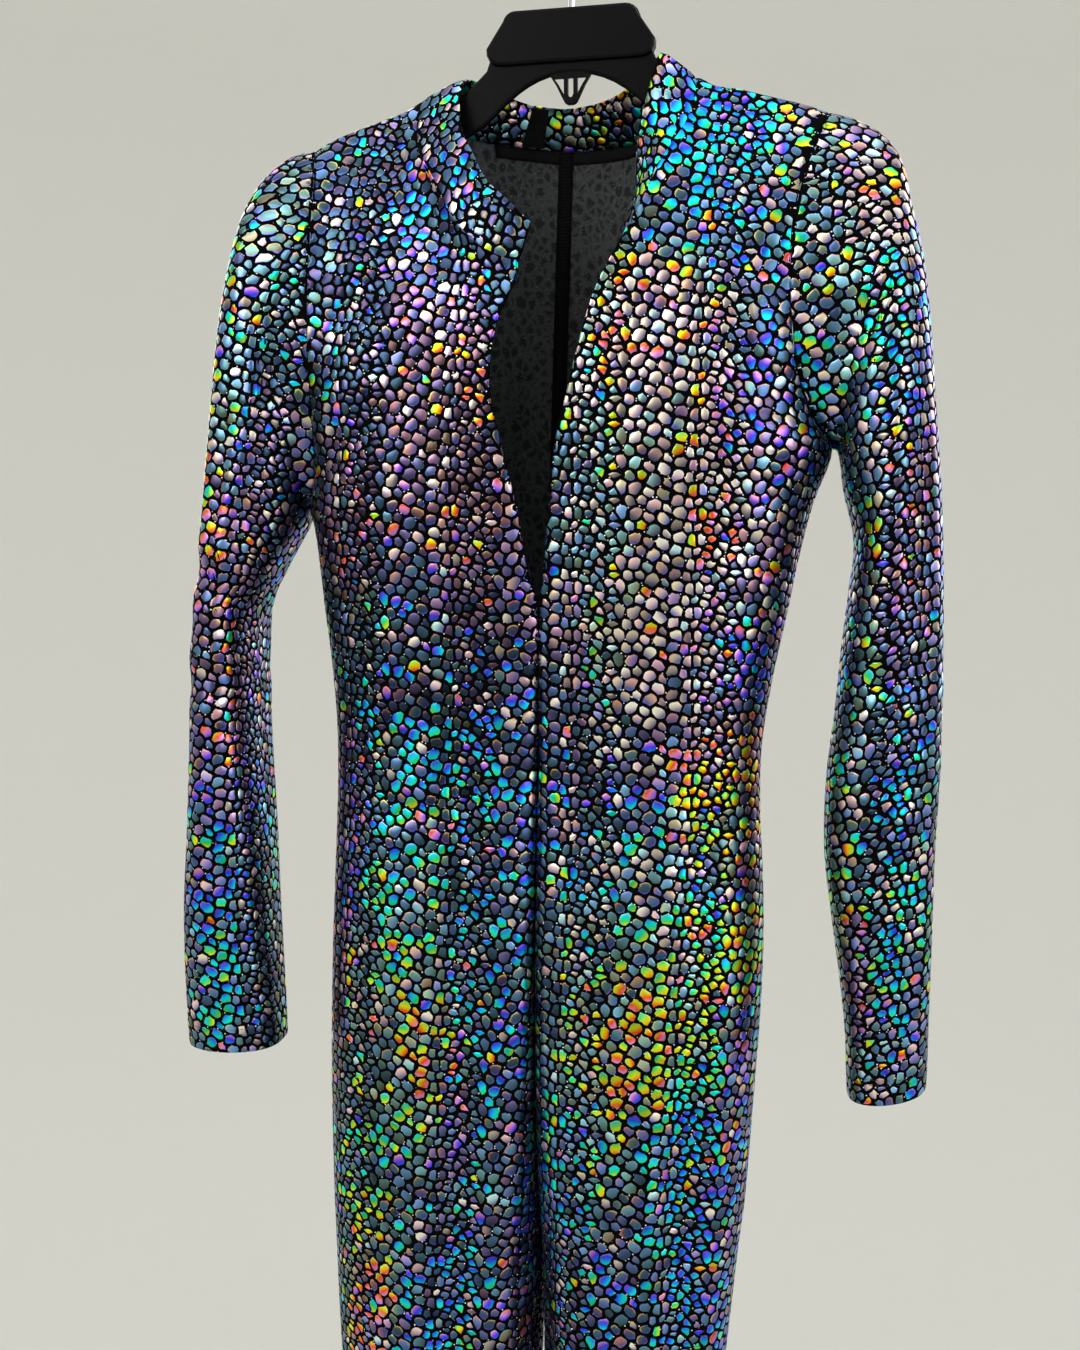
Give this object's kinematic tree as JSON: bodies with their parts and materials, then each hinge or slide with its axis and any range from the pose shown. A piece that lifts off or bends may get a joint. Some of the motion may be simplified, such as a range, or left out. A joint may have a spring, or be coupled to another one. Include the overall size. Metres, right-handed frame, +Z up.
{
  "type": "unitard on a hanger",
  "caption": "Long-sleeved, full-length stretch unitard with a stand-up collar and a deep open front, hanging by its shoulders on a moulded hanger with a wire hook.",
  "frame": {"origin": "the point under the hook's crown that rests on a rail", "axes": "+Z up, -Y towards the garment's front, +X to the right as the front is seen"},
  "size_m": [0.4938, 0.1186, 1.6107],
  "materials": {
    "foil_knit": "black stretch knit printed with bright colour-shifting foil scales",
    "black_tape": "matt woven tape",
    "black_plastic": "smooth moulded, softly glossy",
    "bright_wire": "bright plated steel wire"
  },
  "bodies": {
    "root": {"front_right": "foil_knit", "front_left": "foil_knit", "back_right": "foil_knit", "back_left": "foil_knit", "sleeve_right": "foil_knit", "sleeve_left": "foil_knit", "collar": "foil_knit", "back_tab": "black_tape", "hanger_body": "black_plastic", "hanger_hook": "bright_wire"}
  },
  "joints": []
}
